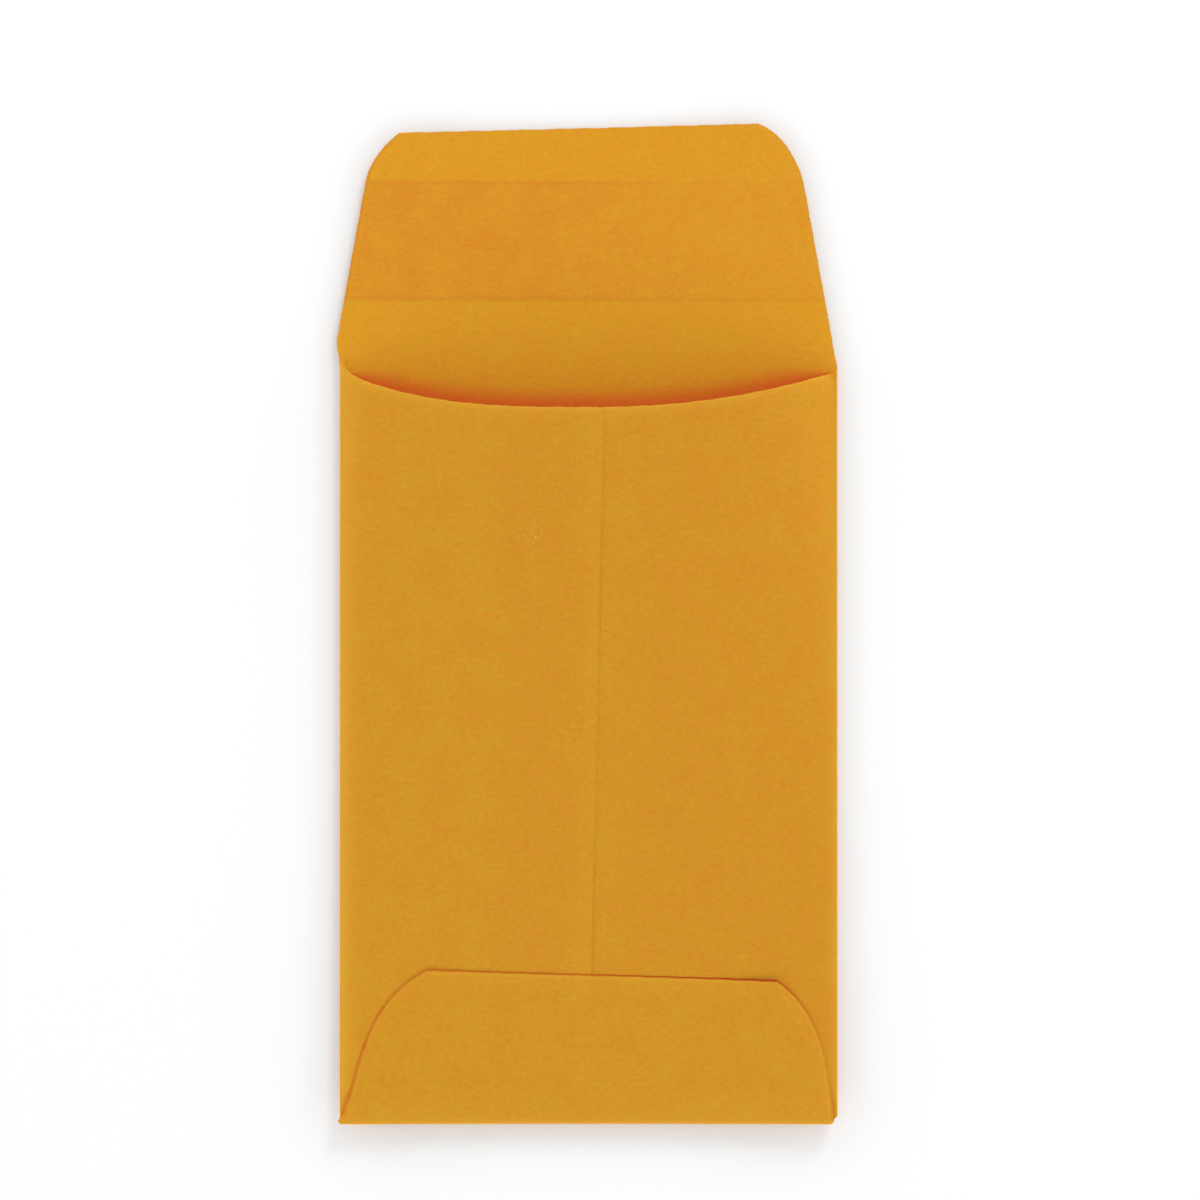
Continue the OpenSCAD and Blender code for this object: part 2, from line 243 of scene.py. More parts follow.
class LineLook(bpy.types.PropertyGroup):
    """Lines along the folds and edges of the paper: rubbed paper with painted highlight, and painted shade
    """

    back_rub: share("Back rub", "Rubbing along the folds of the back", 0.4)
    back_rub_w: length("Back rub width", "Reach of the rubbing on the back", 0.4 * MM)
    side_rub_and_painted_highlight: share("Side fold rub", "Rubbing of the side folds", 0.25)
    left_rub_and_painted_highlight_w: length("Left rub width", "Reach of the rubbing beside the left fold", 0.75 * MM)
    right_rub_and_painted_highlight: share("Right rub", "Rubbing beside the right fold", 0.7)
    right_rub_and_painted_highlight_w: length("Right rub width", "Reach of the rubbing beside the right fold", 0.6 * MM)
    mouth_rub_and_painted_highlight: share("Mouth rub", "Rubbing along the mouth", 0.9)
    mouth_rub_and_painted_highlight_w: length("Mouth rub width", "Reach of the rubbing along the mouth", 0.3 * MM)
    seam_rub_and_painted_highlight: share("Seam rub", "Rubbing along the seam's edge", 0.1)
    seam_rub_and_painted_highlight_w: length("Seam rub width", "Reach of the rubbing along the seam", 0.6 * MM)
    # Painted shade along the seam's edge
    seam_painted_shade: share("Seam line", "Depth of the seam's line", 0.20)
    seam_painted_shade_w: length("Seam line width", "Width of the seam's line", 0.34 * MM)
    stripe: share("Glue stripe", "Warmth of the stripe over the seam's glue", 0.6)
    stripe_more: length("Stripe spread", "How far the stripe reaches past the glue", 0.8 * MM)
    stripe_in: length("Stripe fade in", "Fade of the stripe's border, inwards", 1.0 * MM)
    stripe_out: length("Stripe fade out", "Fade of the stripe's border, outwards", 2.0 * MM)
    scuff_x: length("Scuff X", "Place of the scuff on the left panel, across", -6.6 * MM)
    scuff_y: length("Scuff Y", "Place of the scuff on the left panel, along", 10.3 * MM)
    scuff_r: length("Scuff radius", "Radius of the scuff", 2.2 * MM)
    scuff_core: share("Scuff core", "Share of the scuff's radius that is full", 0.3)
    # Painted shade on the right panel
    right_painted_shade: share("Right warmth", "Warmth of the right panel away from the seam", 0.8)
    right_painted_shade_w: length("Right warmth width", "Distance from the seam to full warmth", 9.0 * MM)
    corner: share("Corner shade", "Depth of the shade at the right panel's lower corner", 0.13)
    corner_in: length("Corner start", "Where the corner's shade starts, across", 24.0 * MM)
    corner_out: length("Corner full", "Where the corner's shade is full, across", 28.0 * MM)
    corner_low: length("Corner low", "Height up to which the corner's shade is full", 8.0 * MM)
    corner_high: length("Corner high", "Height at which the corner's shade ends", 18.0 * MM)
    fold_rub_and_painted_highlight: share("Bottom fold rub", "Rubbing of the bottom fold", 0.5)
    foot_rub_and_painted_highlight: share("Foot rub", "Rubbing of the bottom flap above its fold", 0.3)
    foot_rub_and_painted_highlight_w: length("Foot rub width", "Reach of the rubbing above the fold", 0.5 * MM)
    # A painted highlight just inside the bottom flap's edge
    pale: share("Pale line", "Strength of the pale line inside the bottom flap's edge", 0.4)
    pale_at: length("Pale line place", "Distance of the pale line from the edge", 0.42 * MM)
    pale_w: length("Pale line width", "Half width of the pale line", 0.16 * MM)
    # Painted shade along the bottom flap's top and sides
    top_left: share("Top line, left", "Depth of the bottom flap's top line on the left", 0.66)
    top_right: share("Top line, right", "Depth of the bottom flap's top line on the right", 1.0)
    top_w: length("Top line width", "Width of the top line", 0.26 * MM)
    shoulder_w: length("Shoulder line width", "Width of the top line at the right shoulder", 0.40 * MM)
    shoulder: share("Shoulder", "Share of the flap's width that the right shoulder takes", 0.13)
    # Painted shade in the gap under the bottom flap's top edge
    gap: share("Gap", "Darkness of the gap under the top edge", 0.17)
    shoulder_painted_gap_shade: share("Shoulder gap", "Added darkness at the right shoulder", 0.13)
    left_low: share("Left line, low", "Depth of the left side's line low down", 0.52)
    left_high: share("Left line, high", "Depth of the left side's line high up", 0.58)
    left_low_w: length("Left line width, low", "Width of the left side's line low down", 0.62 * MM)
    left_high_w: length("Left line width, high", "Width of the left side's line high up", 0.44 * MM)
    right_low: share("Right line, low", "Depth of the right side's line low down", 0.10)
    right_high: share("Right line, high", "Depth of the right side's line high up", 1.0)
    right_w: length("Right line width", "Width of the right side's line", 0.40 * MM)
    foot_start: length("Line start", "Height at which the left side's line starts", 0.3 * MM)
    foot_full: length("Line full", "Height at which the left side's line is full", 1.0 * MM)
    ear_rub: share("Ear rub", "Rubbing along the sides of the soft fold", 0.25)
    ear_rub_w: length("Ear rub width", "Reach of the rubbing along the soft fold's sides", 0.3 * MM)
    # Painted shade along the seal flap's sides
    flap_painted_shade_left: share("Seal flap line, left", "Depth of the line along the seal flap's left side", 0.24)
    flap_painted_shade_right: share("Seal flap line, right", "Depth of the line along its right side", 0.10)
    flap_painted_shade_w: length("Seal flap line width", "Width of the lines along the seal flap", 0.4 * MM)
    flap_rub_left: share("Seal flap rub, left", "Rubbing along the seal flap's left side", 0.25)
    flap_rub_left_w: length("Left rub reach", "Reach of the rubbing on the flap's left", 0.8 * MM)
    flap_rub_right: share("Seal flap rub, right", "Rubbing along the seal flap's right side", 0.35)
    flap_rub_right_w: length("Right rub reach", "Reach of the rubbing on the flap's right", 1.2 * MM)


class PaperLook(bpy.types.PropertyGroup):
    """Colours and surface of the kraft paper, the glue and the gum"""

    outside_cool: colour("Outside, cool", "Greener tone of the outside", (0.654, 0.330, 0.0190))
    outside_warm: colour("Outside, warm", "Redder tone of the outside", (0.680, 0.272, 0.0175))
    inside_cool: colour("Inside, cool", "Greener tone of the inside", (0.750, 0.355, 0.0180))
    inside_warm: colour("Inside, warm", "Redder tone of the inside", (0.766, 0.312, 0.0170))
    # Rubbed paper and painted highlight along folds and edges
    worn_and_painted_highlight: colour("Worn", "Rubbed paper along folds and edges", (0.840, 0.430, 0.038))
    cut_edge: colour("Cut edge", "Bare fibres of a cut edge", (0.780, 0.380, 0.055))
    # Painted shade along glued and cut edges; also the darker bead at the gum's border
    gum_bead_and_painted_edge_shade: colour("Dyed edge", "Deep tone of the fibres along a glued edge", (0.550, 0.062, 0.004))
    # Painted shade: colour of the shaded gap under a glued edge
    gap: colour("Gap", "Fine dark gap under a glued edge", (0.100, 0.015, 0.002))
    # Tint of the glue stain over the seam, and of the painted shade on the right panel
    glue_stain_and_painted_shade_tint: colour("Warm tint", "Tint over the glue and on the right", (0.995, 0.945, 0.985))
    # Painted shade: tint of the shade at the mouth and in the right panel's lower corner
    painted_shade_tint: colour("Deep tint", "Tint of the inside at the mouth", (1.0, 0.470, 1.0))
    dark_speck: colour("Dark speck", "Bark specks in the pulp", (0.270, 0.090, 0.010))
    light_speck: colour("Light speck", "Pale fibres in the pulp", (0.860, 0.580, 0.170))
    gum_cool: colour("Gum, cool", "Greener tone of the gum", (0.738, 0.304, 0.0172))
    gum_warm: colour("Gum, warm", "Redder tone of the gum", (0.728, 0.258, 0.0168))
    glue: colour("Glue", "Dried glue", (0.520, 0.250, 0.060))
    paper_roughness: share("Paper roughness", "Roughness of the paper", 0.86)
    gum_roughness: share("Gum roughness", "Roughness of the gum", 0.66)
    glue_roughness: share("Glue roughness", "Roughness of the dried glue", 0.42)
    paper_bump: share("Paper relief", "Strength of the paper's relief", 0.5)
    cut_bump: share("Cut edge relief", "Strength of a cut edge's relief", 0.6)
    gum_bump: share("Gum relief", "Strength of the gum's relief", 0.35)
    glue_bump: share("Glue relief", "Strength of the dried glue's relief", 0.4)
    scuff_strength: share("Scuff strength", "How pale the scuff's specks are", 0.75)
    thin_glue: number("Thin glue", "How much lighter the glue is where it is thin", 1.35)


class StageLook(bpy.types.PropertyGroup):
    """Floor, light and camera"""

    ambient: number("Ambient", "Strength of the even light from all round", 0.48)
    tent: number("Tent", "Strength of the walls of light all round", 2.6)
    tent_full: share("Tent's full height", "Sine of the height up to which the walls are bright", 0.20)
    tent_end: share("Tent's end", "Sine of the height at which the walls have faded out", 0.55)
    key_power: number("Key", "Power of the lamp beyond the flap, in watts", 4.0)
    key_place: place_at("Key place", "Place of the lamp, which is aimed at the envelope", (0.5, 1.0, 0.6))
    key_size: length("Key size", "Diameter of the lamp", 0.4)
    floor_size: length("Floor size", "Length of the floor's sides", 6.0)
    floor_drop: length("Floor clearance", "How far the floor lies below the back", 0.02 * MM)
    floor_tone: share("Floor", "Brightness of the floor", 0.92)
    floor_glow: share("Floor glow", "What the camera sees on top of the lit floor", 0.115)
    camera_h: length("Camera height", "Height of the camera above the floor", 0.6)
    view_w: length("View width", "Width of the view on the floor", 138.1 * MM)
    view_x: length("View centre X", "Middle of the view across", 1.3 * MM)
    view_y: length("View centre Y", "Middle of the view along", 2.7 * MM)


# Curves that several pieces share
def mix(a, b, k):
    return a + (b - a) * k


def smooth(low, high, at):
    k = np.clip((at - low) / (high - low), 0, 1)
    return k * k * (3 - 2 * k)


def near(distance, reach):
    """1 on a line and fading out over a distance from it"""
    return np.exp(-np.maximum(distance, 0) / reach)


def crowd(at, pull=0.85):
    """Shares drawn closer together towards both ends"""
    return at - pull * np.sin(2 * math.pi * at) / (2 * math.pi)


def line_on(distance, width, core=0.45):
    """1 along the core of a line on an edge, and gone a width away from the edge"""
    return 1 - smooth(core * width, width, distance)


def hump(at):
    """1 in the middle of a hump and almost gone two half widths away, counted in half widths"""
    return np.exp(-(at**2))


def cubic(p, k):
    """A curve's place at a share of its way, from its two ends and two handles"""
    m = 1 - k
    return p[0] * m**3 + 3 * p[1] * m**2 * k + 3 * p[2] * m * k**2 + p[3] * k**3


def wander(at, size, phase):
    """A cut edge's small wandering, along a length in metres"""
    s = at / MM
    slow = np.sin(1.9 * s + phase) + 0.7 * np.sin(4.3 * s + 2 * phase)
    fast = 0.8 * np.sin(9.1 * s + 3 * phase) + 0.8 * np.sin(11.9 * s + 5 * phase)
    return size * (slow + fast) / 2


def seam_shows(up):
    """How plainly the seam's edge shows, over the share of its height"""
    slow = 0.5 + 0.5 * np.cos(4 * math.pi * (up - 0.78))
    fast = 0.8 + 0.2 * np.sin(290 * up) * np.sin(173 * up + 1)
    return mix(0.4, 1.15, slow) * fast


def uneven(at):
    """How plainly a glued edge shows, along a length in metres"""
    s = at / MM
    slow = 0.2 * np.sin(2.3 * s) * np.sin(0.9 * s + 1)
    fast = 0.12 * np.sin(7.7 * s + 2) * np.sin(5.1 * s)
    return 0.85 + slow + fast


def mouth_y(form):
    return Y_THROAT - form.throat_drop


def up_share(form, y):
    return np.maximum(0, (y - Y_BOTTOM) / (mouth_y(form) - Y_BOTTOM))


def arch(form, x):
    reach = np.minimum(np.abs(x), X_FOLD)
    return (1 - (reach / X_FOLD) ** form.arch_power) * (1 - np.exp((reach - X_FOLD) / form.fold_ease))


def cockle(form, x, y):
    """Slow waves in the paper, still at the folds"""
    grown = smooth(Y_PANEL, Y_PANEL + form.cockle_start, y)
    calm = (1 - (np.minimum(np.abs(x), X_FOLD) / X_FOLD) ** 4) * grown
    x, y = x / MM, y / MM
    waves = (
        np.sin(0.23 * x + 0.11 * y + 0.6)
        + 0.8 * np.sin(0.17 * x - 0.29 * y + 2.1)
        + 0.5 * np.sin(0.41 * x + 0.35 * y + 4.0)
    )
    return form.cockle * waves / 2 * calm


def bow(form, x, y):
    """The shallow dish of a used envelope, shared by all its layers"""
    down = np.clip((form.foot_bow_y - y) / (form.foot_bow_y - Y_BOTTOM), 0, 1)
    return form.side_bow * (x / HALF_W) ** 2 + form.foot_bow * down**2


def rise(form, x, y):
    return form.mouth_gap * arch(form, x) * up_share(form, y) ** form.fall_power + cockle(form, x, y)


def seam_x(form, y):
    return mix(form.seam_bottom_x, form.seam_mouth_x, up_share(form, y))


def lap_x(form, y):
    return seam_x(form, y) - form.seam_overlap


def climb(form, x, y):
    top = lap_x(form, y) - form.climb_clear
    return LAYER * smooth(top - form.seam_climb, top, x)


def throat_y(form, x, power):
    reach = np.minimum(np.abs(x), X_FOLD) / X_FOLD
    return mouth_y(form) + form.throat_drop * reach**power


def left_throat(form, x):
    """The left panel's cut edge at the mouth, with the horn that runs up along its fold"""
    return throat_y(form, x, form.throat_left) + form.horn_h * near(x + X_FOLD, form.horn_w)


# Painted shade at the mouth, where the raised front shades the back and the crease
def painted_shade(form, x, y):
    """1 at the mouth, fading out above it over a distance that goes with the mouth's gap, and inwards"""
    throat = throat_y(form, x, np.where(x < form.seam_mouth_x, form.throat_left, form.throat_right))
    gap = np.minimum(rise(form, x, throat), form.shade_gap) + form.shade_least
    close = 1 - smooth(form.shade_start * gap, form.shade_end * gap, y - throat)
    wide = 1 - smooth(0, form.shade_far * gap, y - throat)
    inwards = 1 - form.shade_loss * smooth(0, form.shade_in, throat - y)
    return mix(close, wide, form.shade_wide) * inwards


def pressed(form, distance, left):
    """How far a glued edge is pressed down, and how its thickness goes to the share that is left"""
    k = 1 - smooth(0, form.press_w, distance)
    down = LAYER - PAPER_T - form.press_clear + PAPER_T * (1 - left)
    return k * down, mix(1, left, k)


def lip(form, y, throat):
    return form.lip_drop * smooth(throat - form.lip_w, throat, y)


def line_y(form):
    """Where the flap starts"""
    return Y_FLAP - form.fold_above


def flap_left(form, h):
    return -HALF_W - form.left_ear_out + (h - form.ear_h) * math.tan(form.taper)


def flap_right(form, h):
    return HALF_W - form.right_ear_in - (h - form.ear_h) * math.tan(form.taper)


def curl(form, h):
    return form.curl * (np.maximum(h - form.fold_above, 0) / (form.height - form.fold_above)) ** 2


# Making a sheet of paper from a grid
def fresh_grid(name, columns, rows):
    """A new grid primitive, one unit wide, with nothing else selected"""
    bpy.ops.object.select_all(action="DESELECT")
    bpy.ops.mesh.primitive_grid_add(x_subdivisions=columns, y_subdivisions=rows, size=1)
    grid = bpy.context.object
    grid.name = name
    grid.data.name = name
    return grid


def lay(name, place, facing, columns, rows):
    """Lays a grid onto a surface: place takes shares across and along, and gives points, blank and marks"""
    sheet = fresh_grid(name, columns, rows)
    mesh = sheet.data
    count = len(mesh.vertices)
    co = np.empty(count * 3)
    mesh.vertices.foreach_get("co", co)
    shares = co.reshape(-1, 3) + 0.5
    (x, y, z), blank, marks = place(shares[:, 0], shares[:, 1])
    z = z + bow(bpy.context.scene.envelope_front, x, y)
    mesh.vertices.foreach_set("co", np.column_stack((x, y, z)).ravel())
    mesh.uv_layers[0].name = "blank"
    corner = np.empty(len(mesh.loops), dtype=np.int32)
    mesh.loops.foreach_get("vertex_index", corner)
    mesh.uv_layers["blank"].data.foreach_set("uv", np.column_stack(blank)[corner].ravel())
    for mark, values in marks.items():
        layer = mesh.attributes.new(mark, "FLOAT", "POINT")
        layer.data.foreach_set("value", np.broadcast_to(values, count).astype(np.float32))
    mesh.update()
    normals = np.empty(len(mesh.polygons) * 3)
    mesh.polygons.foreach_get("normal", normals)
    if normals.reshape(-1, 3).mean(axis=0) @ np.array(facing) < 0:
        bpy.ops.object.mode_set(mode="EDIT")
        bpy.ops.mesh.select_all(action="SELECT")
        bpy.ops.mesh.flip_normals()
        bpy.ops.object.mode_set(mode="OBJECT")
    return sheet


def thicken(sheet, thickness, materials):
    """Gives a laid sheet its thickness inwards, less where it is marked thin, and its materials: outside,
    inside and cut edge, or one for all"""
    for material in materials:
        sheet.data.materials.append(material)
    solid = sheet.modifiers.new("thickness", "SOLIDIFY")
    solid.thickness = thickness
    solid.offset = -1
    solid.material_offset = min(1, len(materials) - 1)
    solid.material_offset_rim = len(materials) - 1
    thin = sheet.data.attributes.get("thin")
    if thin:
        weights = np.empty(len(sheet.data.vertices), dtype=np.float32)
        thin.data.foreach_get("value", weights)
        sheet.data.attributes.remove(thin)
        group = sheet.vertex_groups.new(name="thin")
        solid.vertex_group = group.name
        for vertex, weight in enumerate(weights):
            group.add([vertex], float(weight), "REPLACE")
    bpy.ops.object.modifier_apply(modifier=solid.name)
    if sheet.modifiers:
        raise RuntimeError(sheet.name + " was not thickened")
    sheet.vertex_groups.clear()
    bpy.ops.object.shade_smooth_by_angle(angle=SMOOTH_ANGLE)
    return sheet


def settle_piece(piece, node, body):
    """Stands a finished piece in for its node"""
    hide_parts(node)
    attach(piece, body)


# Materials
def add_node(tree, kind, inputs=None, **settings):
    made = tree.nodes.new(kind)
    for name, value in settings.items():
        setattr(made, name, value)
    for socket, value in (inputs or {}).items():
        if isinstance(value, bpy.types.NodeSocket):
            tree.links.new(value, made.inputs[socket])
        else:
            made.inputs[socket].default_value = value
    return made


def sums(tree, operation, a, b):
    return add_node(tree, "ShaderNodeMath", {0: a, 1: b}, operation=operation).outputs[0]


def blend_colour(tree, factor, a, b, how="MIX"):
    a = (*a, 1) if not isinstance(a, bpy.types.NodeSocket) else a
    b = (*b, 1) if not isinstance(b, bpy.types.NodeSocket) else b
    made = add_node(tree, "ShaderNodeMix", {0: factor, 6: a, 7: b}, data_type="RGBA", blend_type=how)
    return made.outputs[2]


def remap(tree, value, low, high, to_low, to_high):
    made = add_node(
        tree,
        "ShaderNodeMapRange",
        {"Value": value, "From Min": low, "From Max": high, "To Min": to_low, "To Max": to_high},
    )
    return made.outputs["Result"]


def mark(tree, name):
    return add_node(tree, "ShaderNodeAttribute", attribute_name=name).outputs["Fac"]


def blank_mm(tree, stretch=(1, 1)):
    """Coordinates on the flat blank, in millimetres, drawn out along the grain where a stretch is given"""
    uv = add_node(tree, "ShaderNodeUVMap", uv_map="blank").outputs["UV"]
    scale = (stretch[0] / MM, stretch[1] / MM, 1)
    return add_node(tree, "ShaderNodeVectorMath", {0: uv, 1: scale}, operation="MULTIPLY").outputs[0]


def noise(tree, vector, scale, detail, roughness=0.5, distortion=0.0):
    made = add_node(
        tree,
        "ShaderNodeTexNoise",
        {
            "Vector": vector,
            "Scale": scale,
            "Detail": detail,
            "Roughness": roughness,
            "Distortion": distortion,
        },
    )
    return made.outputs["Fac"]


def specks(tree, vector, scale, size, rarity):
    """Round specks, thinned out by a share"""
    cells = add_node(tree, "ShaderNodeTexVoronoi", {"Vector": vector, "Scale": scale})
    dot = remap(tree, cells.outputs["Distance"], size * 0.5, size, 1, 0)
    chosen = add_node(tree, "ShaderNodeSeparateColor", {"Color": cells.outputs["Color"]}).outputs["Red"]
    return sums(tree, "MULTIPLY", dot, sums(tree, "GREATER_THAN", chosen, rarity))


def new_material(name):
    material = bpy.data.materials.new(name)
    material.use_nodes = True
    return material, material.node_tree, material.node_tree.nodes["Principled BSDF"]


def finish_paper(tree, shader, base, fibre, grain, roughness, bump):
    """Joins a paper colour to its shader, with roughness and relief from the fibres"""
    tree.links.new(base, shader.inputs["Base Color"])
    rough = remap(tree, fibre, 0.3, 0.7, roughness - ROUGHNESS_SPREAD, roughness + ROUGHNESS_SPREAD)
    tree.links.new(rough, shader.inputs["Roughness"])
    relief = sums(tree, "ADD", fibre, sums(tree, "MULTIPLY", grain, 0.7))
    raised = add_node(tree, "ShaderNodeBump", {"Strength": bump, "Distance": RELIEF_H, "Height": relief})
    tree.links.new(raised.outputs["Normal"], shader.inputs["Normal"])
    shader.inputs["Specular IOR Level"].default_value = SPECULAR


def pulp(tree):
    """The noises of the pulp: clouds, mottle, fibres drawn out along the grain, and fine grain"""
    flat = blank_mm(tree)
    cloud = noise(tree, flat, scale=0.26, detail=4, roughness=0.6)
    mottle = noise(tree, flat, scale=1.5, detail=4, roughness=0.7)
    along_grain = blank_mm(tree, stretch=(0.75, 1.7))
    fibre = noise(tree, along_grain, scale=1.5, detail=5, roughness=0.7, distortion=0.3)
    grain = noise(tree, flat, scale=5.0, detail=3, roughness=0.65)
    return cloud, mottle, fibre, grain


def toned(tree, cool, warm, cloud, mottle, fibre, grain):
    """Paper colour between its two tones, shaded by fibres and grain"""
    tone = sums(tree, "ADD", sums(tree, "MULTIPLY", cloud, 0.35), sums(tree, "MULTIPLY", mottle, 0.65))
    base = blend_colour(tree, remap(tree, tone, 0.38, 0.62, 0, 1), cool, warm)
    fibres = remap(tree, fibre, 0.25, 0.75, 0.93, 1.07)
    shade = sums(tree, "MULTIPLY", fibres, remap(tree, grain, 0.25, 0.75, 0.91, 1.09))
    grey = add_node(tree, "ShaderNodeCombineColor", {0: shade, 1: shade, 2: shade}).outputs[0]
    return blend_colour(tree, 1.0, base, grey, "MULTIPLY")


def kraft(look, name, cool, warm):
    """Kraft paper: mottled tones, fibres along the grain, specks, rubbed folds and edges with painted
    highlight, a glue stain, a scuff, and painted shade on the right panel, at the mouth, along glued edges
    and in gaps
    """
    material, tree, shader = new_material(name)
    flat = blank_mm(tree)
    cloud, mottle, fibre, grain = pulp(tree)
    base = toned(tree, cool, warm, cloud, mottle, fibre, grain)
    # Glue stain over the seam, and painted shade on the right panel
    base = blend_colour(tree, mark(tree, "glue_stain_and_painted_shade"), base, look.glue_stain_and_painted_shade_tint, "MULTIPLY")
    # Painted shade at the mouth and in the right panel's lower corner
    base = blend_colour(tree, mark(tree, "painted_shade"), base, look.painted_shade_tint, "MULTIPLY")
    for scale, size, rarity, strength, tint in (
        (0.55, 0.07, 0.72, 0.30, look.dark_speck),
        (0.80, 0.06, 0.80, 0.20, look.light_speck),
    ):
        dots = specks(tree, flat, scale, size, rarity)
        base = blend_colour(tree, sums(tree, "MULTIPLY", dots, strength), base, tint)
    # Rubbed paper and painted highlight along folds and edges
    rubbed = sums(tree, "MULTIPLY", mark(tree, "wear_and_painted_highlight"), remap(tree, mottle, 0.3, 0.7, 0.45, 0.85))
    base = blend_colour(tree, rubbed, base, look.worn_and_painted_highlight)
    # Painted shade along glued and cut edges
    base = blend_colour(tree, mark(tree, "painted_edge_shade"), base, look.gum_bead_and_painted_edge_shade)
    # Painted shade in the gap under the bottom flap's top edge
    base = blend_colour(tree, mark(tree, "gap"), base, look.gap)
    frayed = specks(tree, flat, scale=3.2, size=0.32, rarity=0.5)
    scuffed = sums(tree, "MULTIPLY", mark(tree, "scuff"), frayed)
    base = blend_colour(tree, sums(tree, "MULTIPLY", scuffed, look.scuff_strength), base, look.light_speck)
    finish_paper(tree, shader, base, fibre, grain, look.paper_roughness, look.paper_bump)
    return material


def cut_paper(look, name):
    """The bare fibres along a cut"""
    material, tree, shader = new_material(name)
    cloud, mottle, fibre, grain = pulp(tree)
    base = toned(tree, look.cut_edge, look.worn_and_painted_highlight, cloud, mottle, fibre, grain)
    finish_paper(tree, shader, base, fibre, grain, look.paper_roughness, look.cut_bump)
    return material


def gum_band(look):
    """Dried gum: a thin glossier film with streaks from the roller, fading into the paper at its border"""
    material, tree, shader = new_material("dried_gum")
    cloud, mottle, fibre, grain = pulp(tree)
    paper = toned(tree, look.inside_cool, look.inside_warm, cloud, mottle, fibre, grain)
    along_roller = blank_mm(tree, stretch=(0.05, 2.4))
    streak = noise(tree, along_roller, scale=1.0, detail=4, roughness=0.65)
    gum = toned(tree, look.gum_cool, look.gum_warm, streak, mottle, fibre, grain)
    film = mark(tree, "film")
    patchy = sums(tree, "MULTIPLY", film, remap(tree, cloud, 0.38, 0.60, 0.5, 1))
    base = blend_colour(tree, patchy, paper, gum)
    base = blend_colour(tree, mark(tree, "bead"), base, look.gum_bead_and_painted_edge_shade)
    finish_paper(tree, shader, base, fibre, grain, look.gum_roughness, look.gum_bump)
    return material


def dry_glue(look):
    """Dried glue: an amber film with small bubbles"""
    material, tree, shader = new_material("dried_glue")
    flat = blank_mm(tree)
    cloud = noise(tree, flat, scale=0.8, detail=4)
    bubbles = specks(tree, flat, scale=2.2, size=0.3, rarity=0.5)
    thin = tuple(min(1, look.thin_glue * c) for c in look.glue)
    base = blend_colour(tree, remap(tree, cloud, 0.35, 0.65, 0, 1), look.glue, thin)
    finish_paper(tree, shader, base, cloud, bubbles, look.glue_roughness, look.glue_bump)
    return material


def paper_materials(look):
    """Materials of the outside, the inside and the cut edge, made once"""
    names = ("paper_outside", "paper_inside", "paper_cut_edge")
    if names[0] not in bpy.data.materials:
        kraft(look, names[0], look.outside_cool, look.outside_warm)
        kraft(look, names[1], look.inside_cool, look.inside_warm)
        cut_paper(look, names[2])
    return [bpy.data.materials[name] for name in names]


class ENVELOPE_OT_back_panel(bpy.types.Operator):
    """Lay the back panel, which the envelope lies on"""

    bl_idname = "envelope.back_panel"
    bl_label = "Back panel"

    def execute(self, context):
        front = context.scene.envelope_front
        lines = context.scene.envelope_lines
        foot_left, foot_right = FOOT_LOW.x, FOOT_HIGH.x

        def place(across, along):
            y = mix(Y_FOOT, Y_BACK_TOP, crowd(along))
            grown = np.clip((y - Y_FOOT) / (Y_PANEL - Y_FOOT), 0, 1)
            x = mix(mix(foot_left, -X_FOLD, grown), mix(foot_right, X_FOLD, grown), crowd(across))
            from_fold = np.minimum(X_FOLD - np.abs(x), y - Y_FOOT)
            # The mark at the mouth is painted shade
            marks = {"wear_and_painted_highlight": lines.back_rub * near(from_fold, lines.back_rub_w), "painted_shade": painted_shade(front, x, y)}
            return (x, y, np.zeros_like(x)), (x, y), marks

        sheet = lay("kraft_back_panel", place, (0, 0, -1), columns=96, rows=120)
        thicken(sheet, PAPER_T, paper_materials(context.scene.envelope_look))
        settle_piece(sheet, "back_panel", "envelope")
        return {"FINISHED"}


class ENVELOPE_OT_side_folds(bpy.types.Operator):
    """Roll the two side folds between the back and the front"""

    bl_idname = "envelope.side_folds"
    bl_label = "Side folds"

    def execute(self, context):
        front = context.scene.envelope_front
        # Rubbing and painted highlight on the side folds
        rub = context.scene.envelope_lines.side_rub_and_painted_highlight
        materials = paper_materials(context.scene.envelope_look)
        for name, node, side, panel_top in (
            ("kraft_left_side_fold", "left_side_fold", -1, left_throat(front, -X_FOLD)),
            ("kraft_right_side_fold", "right_side_fold", 1, Y_BACK_TOP),
        ):

            def place(across, along, side=side, panel_top=panel_top):
                turn = math.pi * across
                x = side * (X_FOLD + SIDE_R * np.sin(turn))
                z = SIDE_R * (1 - np.cos(turn))
                y = mix(Y_PANEL, mix(Y_BACK_TOP, panel_top, across), along)
                blank = (side * (X_FOLD + SIDE_R * turn), y)
                return (x, y, z), blank, {"wear_and_painted_highlight": rub}

            sheet = lay(name, place, (side, 0, 0), columns=14, rows=150)
            thicken(sheet, PAPER_T, materials)
            settle_piece(sheet, node, "envelope")
        return {"FINISHED"}


